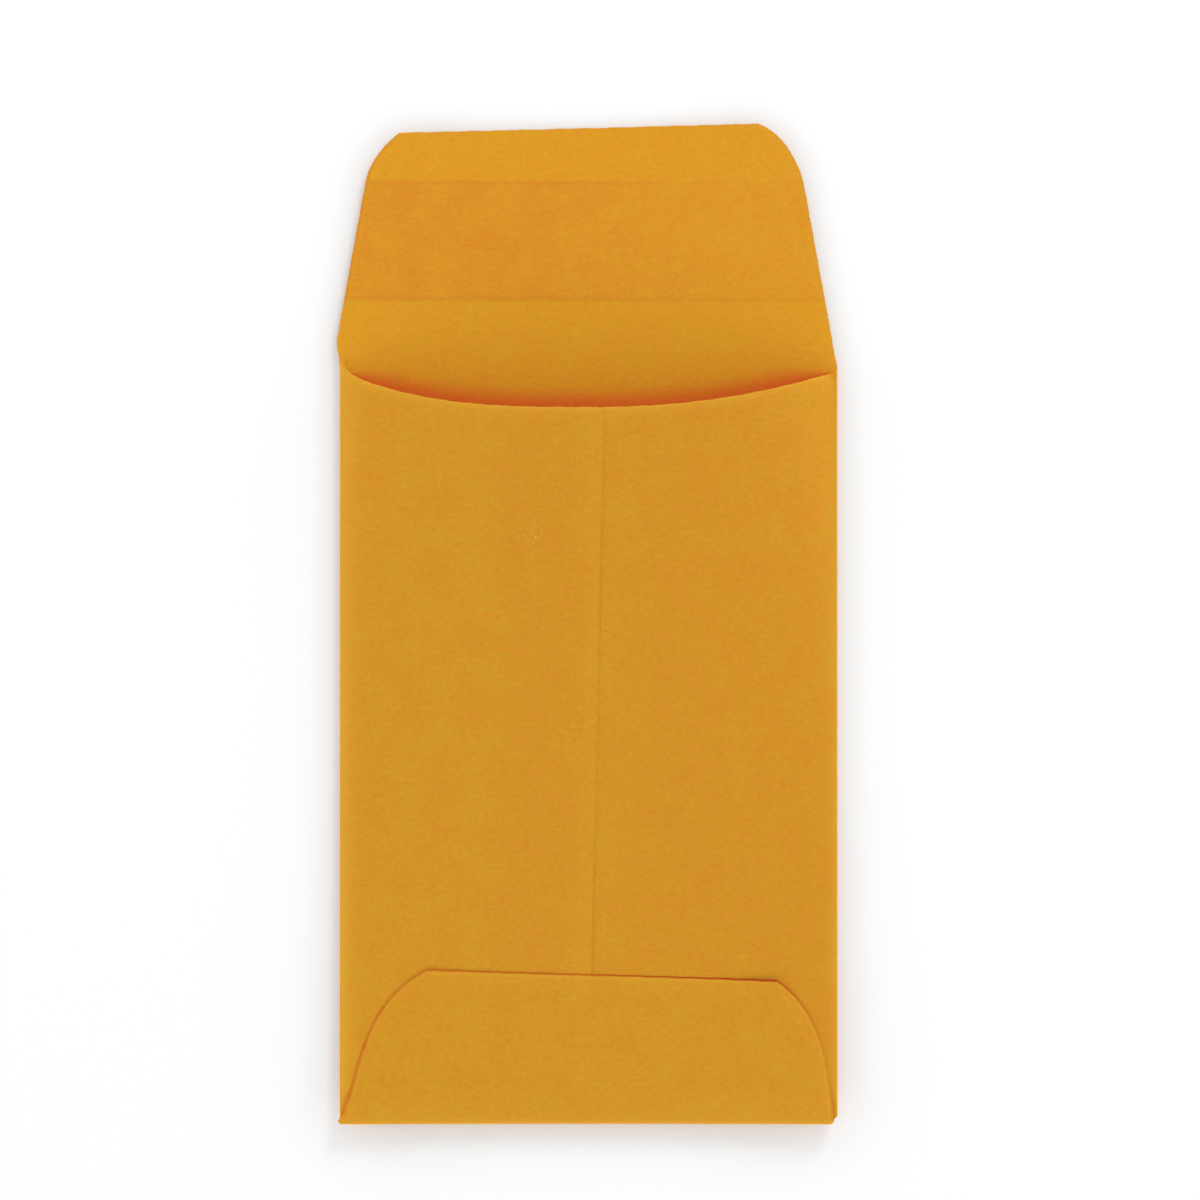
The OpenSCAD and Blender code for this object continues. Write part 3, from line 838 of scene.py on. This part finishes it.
class ENVELOPE_OT_side_panels(bpy.types.Operator):
    """Lay the right side panel, and the left one over it at the centre seam"""

    bl_idname = "envelope.side_panels"
    bl_label = "Side panels"

    def execute(self, context):
        form = context.scene.envelope_front
        glue = context.scene.envelope_glue
        lines = context.scene.envelope_lines
        materials = paper_materials(context.scene.envelope_look)

        def blank_of(side, x, y):
            return side * (X_FOLD + math.pi * SIDE_R + X_FOLD - side * x), y

        def left(across, along):
            up = crowd(along, pull=0.6)
            edge = seam_x(form, mix(Y_PANEL, mouth_y(form), up))
            edge = edge + wander(up * form.seam_run, form.seam_ragged, phase=1.0)
            x = mix(-X_FOLD, edge, crowd(across, pull=0.7))
            throat = left_throat(form, x) + wander(x, form.mouth_ragged, phase=2.0)
            y = mix(Y_PANEL, throat, up)
            down, thin = pressed(form, edge - x, form.seam_thin)
            z = FRONT_Z + PAPER_T + rise(form, x, y) + climb(form, x, y) - down - lip(form, y, throat)
            # Rubbing and painted highlight along the fold, the mouth and the seam's edge
            wear_and_painted_highlight = np.maximum.reduce(
                [
                    near(x + X_FOLD, lines.left_rub_and_painted_highlight_w),
                    lines.mouth_rub_and_painted_highlight * near(throat - y, lines.mouth_rub_and_painted_highlight_w),
                    lines.seam_rub_and_painted_highlight * near(edge - x, lines.seam_rub_and_painted_highlight_w),
                ]
            )
            high = edge - glue.seam_inset
            low = high - glue.seam_w - lines.stripe_more
            stripe = smooth(low - lines.stripe_out, low + lines.stripe_in, x)
            stripe = stripe * (1 - smooth(high - lines.stripe_in, high + lines.stripe_out, x))
            from_scuff = np.hypot(x - lines.scuff_x, y - lines.scuff_y)
            marks = {
                "wear_and_painted_highlight": wear_and_painted_highlight,
                "glue_stain_and_painted_shade": lines.stripe * stripe,
                "scuff": 1 - smooth(lines.scuff_core * lines.scuff_r, lines.scuff_r, from_scuff),
                # Painted shade along the seam's edge
                "painted_edge_shade": lines.seam_painted_shade * seam_shows(up) * line_on(edge - x, lines.seam_painted_shade_w),
                "thin": thin,
            }
            return (x, y, z), blank_of(-1, x, y), marks

        def right(across, along):
            up = crowd(along, pull=0.6)
            edge = lap_x(form, mix(Y_PANEL, mouth_y(form), up))
            x = mix(X_FOLD, edge, crowd(1 - across, pull=0.7))
            covered = smooth(0, form.covered_w, form.seam_mouth_x - x)
            throat = throat_y(form, x, form.throat_right) + wander(x, form.mouth_ragged, phase=3.0)
            throat = throat - form.covered_short * covered
            y = mix(Y_PANEL, throat, up)
            z = FRONT_Z + PAPER_T + rise(form, x, y) - lip(form, y, throat)
            # Rubbing and painted highlight along the fold and the mouth
            wear_and_painted_highlight = np.maximum(
                lines.right_rub_and_painted_highlight * near(X_FOLD - x, lines.right_rub_and_painted_highlight_w),
                lines.mouth_rub_and_painted_highlight * near(throat - y, lines.mouth_rub_and_painted_highlight_w),
            )
            # Painted shade in the right panel's lower corner
            corner = smooth(lines.corner_in, lines.corner_out, x)
            corner = corner * (1 - smooth(lines.corner_low, lines.corner_high, y - Y_PANEL))
            marks = {
                "wear_and_painted_highlight": wear_and_painted_highlight,
                # Painted shade on the right panel, growing away from the seam
                "glue_stain_and_painted_shade": lines.right_painted_shade * smooth(0, lines.right_painted_shade_w, x - seam_x(form, y)),
                "painted_shade": lines.corner * corner,
            }
            return (x, y, z), blank_of(1, x, y), marks

        for name, node, place, columns in (
            ("kraft_left_side_panel", "left_side_panel", left, 180),
            ("kraft_right_side_panel", "right_side_panel", right, 210),
        ):
            sheet = lay(name, place, (0, 0, 1), columns, rows=150)
            thicken(sheet, PAPER_T, materials)
            settle_piece(sheet, node, "envelope")
        return {"FINISHED"}


def bottom_sides(form):
    """Curves of the bottom flap's two sides, from the bottom fold to the shoulders"""

    def side(foot_x, low_x, high_x, shoulder_x, h):
        x = (foot_x, low_x, high_x, shoulder_x)
        y = (Y_FOOT, Y_BOTTOM + form.low_handle * h, Y_BOTTOM + form.high_handle * h, Y_BOTTOM + h)
        return x, y

    left = side(
        FOOT_LOW.x, form.left_low_lean - HALF_W, form.left_high_lean - HALF_W,
        form.left_shoulder - HALF_W, form.left_h,
    )
    right = side(
        FOOT_HIGH.x, HALF_W - form.right_lean, HALF_W - form.right_lean,
        HALF_W - form.right_shoulder, form.right_h,
    )
    return left, right


def bottom_point(form, across, along):
    (left_x, left_y), (right_x, right_y) = bottom_sides(form)
    x = mix(cubic(left_x, along), cubic(right_x, along), across)
    y = mix(cubic(left_y, along), cubic(right_y, along), across)
    return x, y


def bottom_under(front, form, x, y):
    """Height of the bottom flap's underside, over the left panel and down past the seam onto the right"""
    edge = seam_x(front, y)
    down, _ = pressed(front, edge - x, front.seam_thin)
    drape = (climb(front, x, y) - down) * (1 - smooth(edge, edge + form.drop, x))
    settled = smooth(Y_FOOT, Y_FOOT + form.settle, y)
    return FRONT_Z + rise(front, x, y) + LAYER + mix(LAYER, drape, settled)


class ENVELOPE_OT_bottom(bpy.types.Operator):
    """Roll the bottom fold and lay the bottom flap over the side panels"""

    bl_idname = "envelope.bottom"
    bl_label = "Bottom fold and flap"

    def execute(self, context):
        front = context.scene.envelope_front
        form = context.scene.envelope_bottom
        lines = context.scene.envelope_lines
        materials = paper_materials(context.scene.envelope_look)
        turned = math.pi * FOOT_R

        def fold(across, along):
            turn = math.pi * along
            drawn_in = form.corner_in * np.sin(turn) ** 2
            x = mix(FOOT_LOW.x + drawn_in, FOOT_HIGH.x - drawn_in, across)
            y = Y_FOOT - FOOT_R * np.sin(turn)
            z = FOOT_R * (1 - np.cos(turn))
            # Rubbing and painted highlight on the bottom fold
            return (x, y, z), (x, Y_FOOT - FOOT_R * turn), {"wear_and_painted_highlight": lines.fold_rub_and_painted_highlight}

        def flap(across, along):
            across, along = crowd(across), crowd(along)
            x, y = bottom_point(form, across, along)
            (left_x, left_y), (right_x, right_y) = bottom_sides(form)
            from_top = mix(left_y[3], right_y[3], across) - y
            from_left = x - cubic(left_x, along)
            from_right = cubic(right_x, along) - x
            from_edge = np.minimum(from_top, np.minimum(from_left, from_right))
            y = y + along**10 * wander(x, front.ragged, phase=4.0)
            left_lift = form.left_lift * hump(across / form.left_lift_w)
            right_lift = form.right_lift * hump((1 - across) / form.right_lift_w)
            lift = (left_lift + right_lift) * along**8
            down, thin = pressed(front, from_edge, form.edge_thin)
            settled = smooth(Y_FOOT, Y_FOOT + form.settle, y)
            z = bottom_under(front, form, x, y) + PAPER_T + lift - down * settled
            # Painted highlight just inside the edge
            pale = lines.pale * hump((from_edge - lines.pale_at) / lines.pale_w)
            shoulder = hump((1 - across) / lines.shoulder) * along**6
            # The painted shade of the top line deepens to the right, and the painted shade of the gap below
            # it starts past the left shoulder
            top = mix(lines.top_left, lines.top_right, smooth(0.4, 0.9, across))
            left = mix(lines.left_low, lines.left_high, along) * uneven(y)
            left = left * smooth(lines.foot_start, lines.foot_full, y - Y_FOOT)
            right = mix(lines.right_low, lines.right_high, along**3)
            # Painted shade in the gap under the top edge, deeper at the right shoulder
            gap = lines.gap * smooth(0.02, 0.22, across) + lines.shoulder_painted_gap_shade * smooth(0.82, 0.97, across)
            marks = {
                "wear_and_painted_highlight": np.maximum(lines.foot_rub_and_painted_highlight * near(y - Y_FOOT, lines.foot_rub_and_painted_highlight_w), pale),
                # Painted shade along the bottom flap's edges
                "painted_edge_shade": np.maximum.reduce(
                    [
                        top * line_on(from_top, mix(lines.top_w, lines.shoulder_w, shoulder)),
                        left * line_on(from_left, mix(lines.left_low_w, lines.left_high_w, along)),
                        right * line_on(from_right, lines.right_w),
                    ]
                ),
                "gap": gap * line_on(from_top, lines.top_w),
                "thin": mix(1, thin, settled),
            }
            return (x, y, z), (x, 2 * Y_FOOT - turned - y), marks

        for name, node, place, facing, columns, rows in (
            ("kraft_bottom_fold", "bottom_fold", fold, (0, -1, 0), 140, 18),
            ("kraft_bottom_flap", "bottom_flap", flap, (0, 0, 1), 280, 56),
        ):
            sheet = lay(name, place, facing, columns, rows)
            thicken(sheet, PAPER_T, materials)
            settle_piece(sheet, node, "envelope")
        return {"FINISHED"}


class ENVELOPE_OT_glue_lines(bpy.types.Operator):
    """Run the dried glue lines in the centre seam and under the bottom flap"""

    bl_idname = "envelope.glue_lines"
    bl_label = "Glue lines"

    def execute(self, context):
        front = context.scene.envelope_front
        bottom = context.scene.envelope_bottom
        form = context.scene.envelope_glue
        glue = dry_glue(context.scene.envelope_look)
        gap = LAYER - PAPER_T

        def seam(across, along):
            y = mix(Y_PANEL + form.seam_end, mouth_y(front) - form.seam_end, along)
            x = seam_x(front, y) - form.seam_inset - form.seam_w * (1 - across)
            x = x + (across - 0.5) * wander(y, form.beading, phase=5.0)
            z = FRONT_Z + rise(front, x, y) + PAPER_T + (gap + form.thickness) / 2
            return (x, y, z), (x, y), {}

        def under_flap(across, along):
            h = min(bottom.left_h, bottom.right_h)
            high = 1 - form.flap_inset / h
            in_share = form.flap_inset / (2 * HALF_W)
            up = mix(high - form.flap_w / h, high, along)
            x, y = bottom_point(bottom, mix(in_share, 1 - in_share, across), up)
            y = y + (along - 0.5) * wander(x, form.beading, phase=6.0)
            z = bottom_under(front, bottom, x, y) - (gap - form.thickness) / 2
            return (x, y, z), (x, y), {}

        for name, node, place, columns, rows in (
            ("dried_seam_glue", "seam_adhesive", seam, 14, 150),
            ("dried_flap_glue", "bottom_flap_adhesive", under_flap, 240, 12),
        ):
            sheet = lay(name, place, (0, 0, 1), columns, rows)
            thicken(sheet, form.thickness, [glue])
            settle_piece(sheet, node, "envelope")
        return {"FINISHED"}


class ENVELOPE_OT_flap_crease(bpy.types.Operator):
    """Lay the soft fold between the back panel and the seal flap, flat as the flap lies open"""

    bl_idname = "envelope.flap_crease"
    bl_label = "Flap crease"

    def execute(self, context):
        form = context.scene.envelope_flap
        front = context.scene.envelope_front
        lines = context.scene.envelope_lines

        def side(h, ear, corner_x, flap_side):
            ear_x = mix(corner_x, flap_side(form, form.ear_h), ear)
            return np.where(h > form.ear_h, flap_side(form, h), ear_x)

        def place(across, along):
            across = crowd(across)
            y = mix(Y_BACK_TOP, Y_FLAP, along)
            h = y - line_y(form)
            low = Y_BACK_TOP - line_y(form)
            ear = smooth(low, form.ear_h, h)
            left = side(h, ear, -HALF_W, flap_left)
            right = side(h, ear, HALF_W, flap_right)
            ends = smooth(0, 0.2, along) * (1 - smooth(0.8, 1, along))
            x = mix(left, right, across)
            x = x + (2 * across - 1) ** 9 * wander(h, front.ragged, phase=7.0) * ends
            from_side = np.minimum(x - left, right - x)
            # Painted shade at the mouth reaches onto the crease
            marks = {"wear_and_painted_highlight": lines.ear_rub * near(from_side, lines.ear_rub_w), "painted_shade": painted_shade(front, x, y)}
            return (x, y, np.zeros_like(x)), (x, y), marks

        sheet = lay("kraft_flap_crease", place, (0, 0, -1), columns=110, rows=36)
        thicken(sheet, PAPER_T, paper_materials(context.scene.envelope_look))
        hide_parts("flap_crease")
        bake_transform(sheet)
        return {"FINISHED"}


def flap_edges(form, along):
    """Points of the seal flap's two edges, over the share of its height"""
    straight = np.minimum(along / form.straight_share, 1)
    turned = np.maximum(along - form.straight_share, 0) / (1 - form.straight_share)
    skew = math.tan(form.skew)
    edges = []
    for side_x, inwards, corner_h, corner_w, low, high_x, high_h in (
        (
            flap_left, 1, form.left_corner_h, form.left_corner_w,
            form.left_low, form.left_high_x, form.left_high_h,
        ),
        (
            flap_right, -1, form.right_corner_h, form.right_corner_w,
            form.right_low, form.right_high_x, form.right_high_h,
        ),
    ):
        start = form.height - corner_h
        handle = start + low * corner_h
        end_x = side_x(form, start) + inwards * corner_w
        end = form.height + end_x * skew
        corner_x = (side_x(form, start), side_x(form, handle), end_x - inwards * high_x, end_x)
        corner_y = (start, handle, end - high_h, end)
        x = np.where(
            turned > 0,
            cubic(corner_x, turned),
            mix(side_x(form, form.fold_above), side_x(form, start), straight),
        )
        h = np.where(turned > 0, cubic(corner_y, turned), mix(form.fold_above, start, straight))
        edges.append((x, h))
    return edges


class ENVELOPE_OT_seal_flap(bpy.types.Operator):
    """Lay the seal flap, curled up a little by its gum"""

    bl_idname = "envelope.seal_flap"
    bl_label = "Seal flap"

    def execute(self, context):
        form = context.scene.envelope_flap
        ragged = context.scene.envelope_front.ragged
        lines = context.scene.envelope_lines

        def place(across, along):
            across = crowd(across)
            (left_x, left_h), (right_x, right_h) = flap_edges(form, along)
            x = mix(left_x, right_x, across)
            h = mix(left_h, right_h, across)
            side = 2 * across - 1
            x = x + side**9 * wander(h, ragged, phase=7.0) * smooth(0, 0.15, along)
            h = h + along**12 * wander(x, ragged, phase=8.0)
            y = line_y(form) + h
            # Painted shade along the flap's sides
            painted_edge_shade = np.maximum(
                lines.flap_painted_shade_left * line_on(x - left_x, lines.flap_painted_shade_w),
                lines.flap_painted_shade_right * line_on(right_x - x, lines.flap_painted_shade_w),
            )
            wear_and_painted_highlight = np.maximum(
                lines.flap_rub_left * near(x - left_x, lines.flap_rub_left_w),
                lines.flap_rub_right * near(right_x - x, lines.flap_rub_right_w),
            )
            return (x, y, curl(form, h)), (x, y), {"painted_edge_shade": painted_edge_shade, "wear_and_painted_highlight": wear_and_painted_highlight}

        sheet = lay("kraft_seal_flap", place, (0, 0, -1), columns=120, rows=84)
        thicken(sheet, PAPER_T, paper_materials(context.scene.envelope_look))
        settle_piece(sheet, "seal_flap", "flap")
        return {"FINISHED"}


class ENVELOPE_OT_seal_gum(bpy.types.Operator):
    """Spread the dried gum band on the inside of the seal flap"""

    bl_idname = "envelope.seal_gum"
    bl_label = "Seal gum"

    def execute(self, context):
        form = context.scene.envelope_flap
        gum_low, gum_high = GUM_LOW.y, GUM_HIGH.y

        def place(across, along):
            across, along = crowd(across), crowd(along)
            y = mix(gum_low, gum_high, along)
            h = y - line_y(form)
            left = flap_left(form, h) + form.gum_margin
            right = flap_right(form, h) - form.gum_margin
            x = mix(left, right, across)
            ends = np.minimum(y - gum_low, gum_high - y) + wander(x, form.gum_ragged, phase=9.0)
            sides = np.minimum(x - left, right - x)
            film = smooth(0, form.gum_fade, ends) * smooth(0, form.gum_fade, sides)
            thin = mix(form.gum_thin, 1, film)
            bead = form.gum_bead * hump((ends - form.gum_bead_at) / form.gum_bead_w) * film
            z = PAPER_T + form.gum_clear + form.gum_t * thin + curl(form, h)
            tint = mix(1, form.gum_faint, smooth(0.3, 0.85, across))
            return (x, y, z), (x, y), {"film": film * tint, "bead": bead * tint, "thin": thin}

        sheet = lay("dried_seal_gum", place, (0, 0, 1), columns=130, rows=64)
        thicken(sheet, form.gum_t, [gum_band(context.scene.envelope_look)])
        settle_piece(sheet, "seal_gum", "flap")
        return {"FINISHED"}


def seen_ray(tree):
    """1 for rays from the camera and for its reflections and refractions"""
    path = add_node(tree, "ShaderNodeLightPath")
    glossy = sums(tree, "MAXIMUM", path.outputs["Is Glossy Ray"], path.outputs["Is Transmission Ray"])
    return sums(tree, "MAXIMUM", path.outputs["Is Camera Ray"], glossy)


def floor_material(look):
    """A white floor that keeps its shadows, with a little added for the camera so that it reads as white"""
    material = bpy.data.materials.new("studio_floor")
    material.use_nodes = True
    tree = material.node_tree
    tree.nodes.clear()
    lit = add_node(tree, "ShaderNodeBsdfDiffuse", {"Color": (look.floor_tone,) * 3 + (1,)})
    strength = sums(tree, "MULTIPLY", seen_ray(tree), look.floor_glow)
    glow = add_node(tree, "ShaderNodeEmission", {"Strength": strength})
    both = add_node(tree, "ShaderNodeAddShader", {0: lit.outputs[0], 1: glow.outputs[0]})
    add_node(tree, "ShaderNodeOutputMaterial", {"Surface": both.outputs[0]})
    return material


class ENVELOPE_OT_stage(bpy.types.Operator):
    """Set out the floor, the soft light and the camera"""

    bl_idname = "envelope.stage"
    bl_label = "Stage"

    def execute(self, context):
        look = context.scene.envelope_stage
        bpy.ops.object.select_all(action="DESELECT")
        bpy.ops.mesh.primitive_plane_add(size=look.floor_size, location=(0, 0, -look.floor_drop))
        floor = context.object
        floor.name = "studio_floor"
        floor.data.materials.append(floor_material(look))

        world = bpy.data.worlds.new("studio_world")
        world.use_nodes = True
        context.scene.world = world
        tree = world.node_tree
        height = add_node(
            tree, "ShaderNodeSeparateXYZ", {0: add_node(tree, "ShaderNodeTexCoord").outputs["Generated"]}
        ).outputs["Z"]
        walls = remap(tree, height, look.tent_full, look.tent_end, look.ambient + look.tent, look.ambient)
        walls.node.interpolation_type = "SMOOTHSTEP"
        strength = add_node(tree, "ShaderNodeMix", {0: seen_ray(tree), 2: walls, 3: 1.0}).outputs[0]
        sky = tree.nodes["Background"]
        sky.inputs["Color"].default_value = (1, 1, 1, 1)
        tree.links.new(strength, sky.inputs["Strength"])

        turn = (-Vector(look.key_place)).to_track_quat("-Z", "Y").to_euler()
        bpy.ops.object.light_add(type="AREA", location=look.key_place, rotation=turn)
        lamp = context.object
        lamp.name = "key_light"
        lamp.data.shape = "DISK"
        lamp.data.size = look.key_size
        lamp.data.energy = look.key_power

        bpy.ops.object.camera_add(location=(look.view_x, look.view_y, look.camera_h), rotation=(0, 0, 0))
        camera = context.object
        camera.name = "studio_camera"
        camera.data.lens = camera.data.sensor_width * look.camera_h / look.view_w
        context.scene.camera = camera
        context.scene.view_settings.view_transform = "Standard"
        return {"FINISHED"}


class ENVELOPE_PT_sidebar(bpy.types.Panel):
    """The envelope's pieces and sizes"""

    bl_idname = "ENVELOPE_PT_sidebar"
    bl_label = "Coin envelope"
    bl_space_type = "VIEW_3D"
    bl_region_type = "UI"
    bl_category = "Envelope"

    def draw(self, context):
        for made in OPERATORS:
            self.layout.operator(made.bl_idname)
        for name in GROUPS:
            box = self.layout.box()
            group = getattr(context.scene, name)
            for prop in group.bl_rna.properties:
                if prop.identifier not in ("rna_type", "name"):
                    box.prop(group, prop.identifier)


GROUPS = {
    "envelope_front": FrontForm,
    "envelope_bottom": BottomForm,
    "envelope_flap": FlapForm,
    "envelope_glue": GlueForm,
    "envelope_lines": LineLook,
    "envelope_look": PaperLook,
    "envelope_stage": StageLook,
}
OPERATORS = (
    ENVELOPE_OT_back_panel,
    ENVELOPE_OT_side_folds,
    ENVELOPE_OT_side_panels,
    ENVELOPE_OT_bottom,
    ENVELOPE_OT_glue_lines,
    ENVELOPE_OT_flap_crease,
    ENVELOPE_OT_seal_flap,
    ENVELOPE_OT_seal_gum,
    ENVELOPE_OT_stage,
)


def register():
    for made in (*GROUPS.values(), *OPERATORS, ENVELOPE_PT_sidebar):
        bpy.utils.register_class(made)
    for name, group in GROUPS.items():
        setattr(bpy.types.Scene, name, bpy.props.PointerProperty(type=group))


def unregister():
    for name in GROUPS:
        delattr(bpy.types.Scene, name)
    for made in reversed((*GROUPS.values(), *OPERATORS, ENVELOPE_PT_sidebar)):
        bpy.utils.unregister_class(made)


def main():
    register()
    bpy.ops.envelope.back_panel()
    bpy.ops.envelope.side_folds()
    bpy.ops.envelope.side_panels()
    bpy.ops.envelope.bottom()
    bpy.ops.envelope.glue_lines()
    bpy.ops.envelope.flap_crease()
    bpy.ops.envelope.seal_flap()
    bpy.ops.envelope.seal_gum()
    bpy.ops.envelope.stage()


if __name__ == "__main__":
    main()
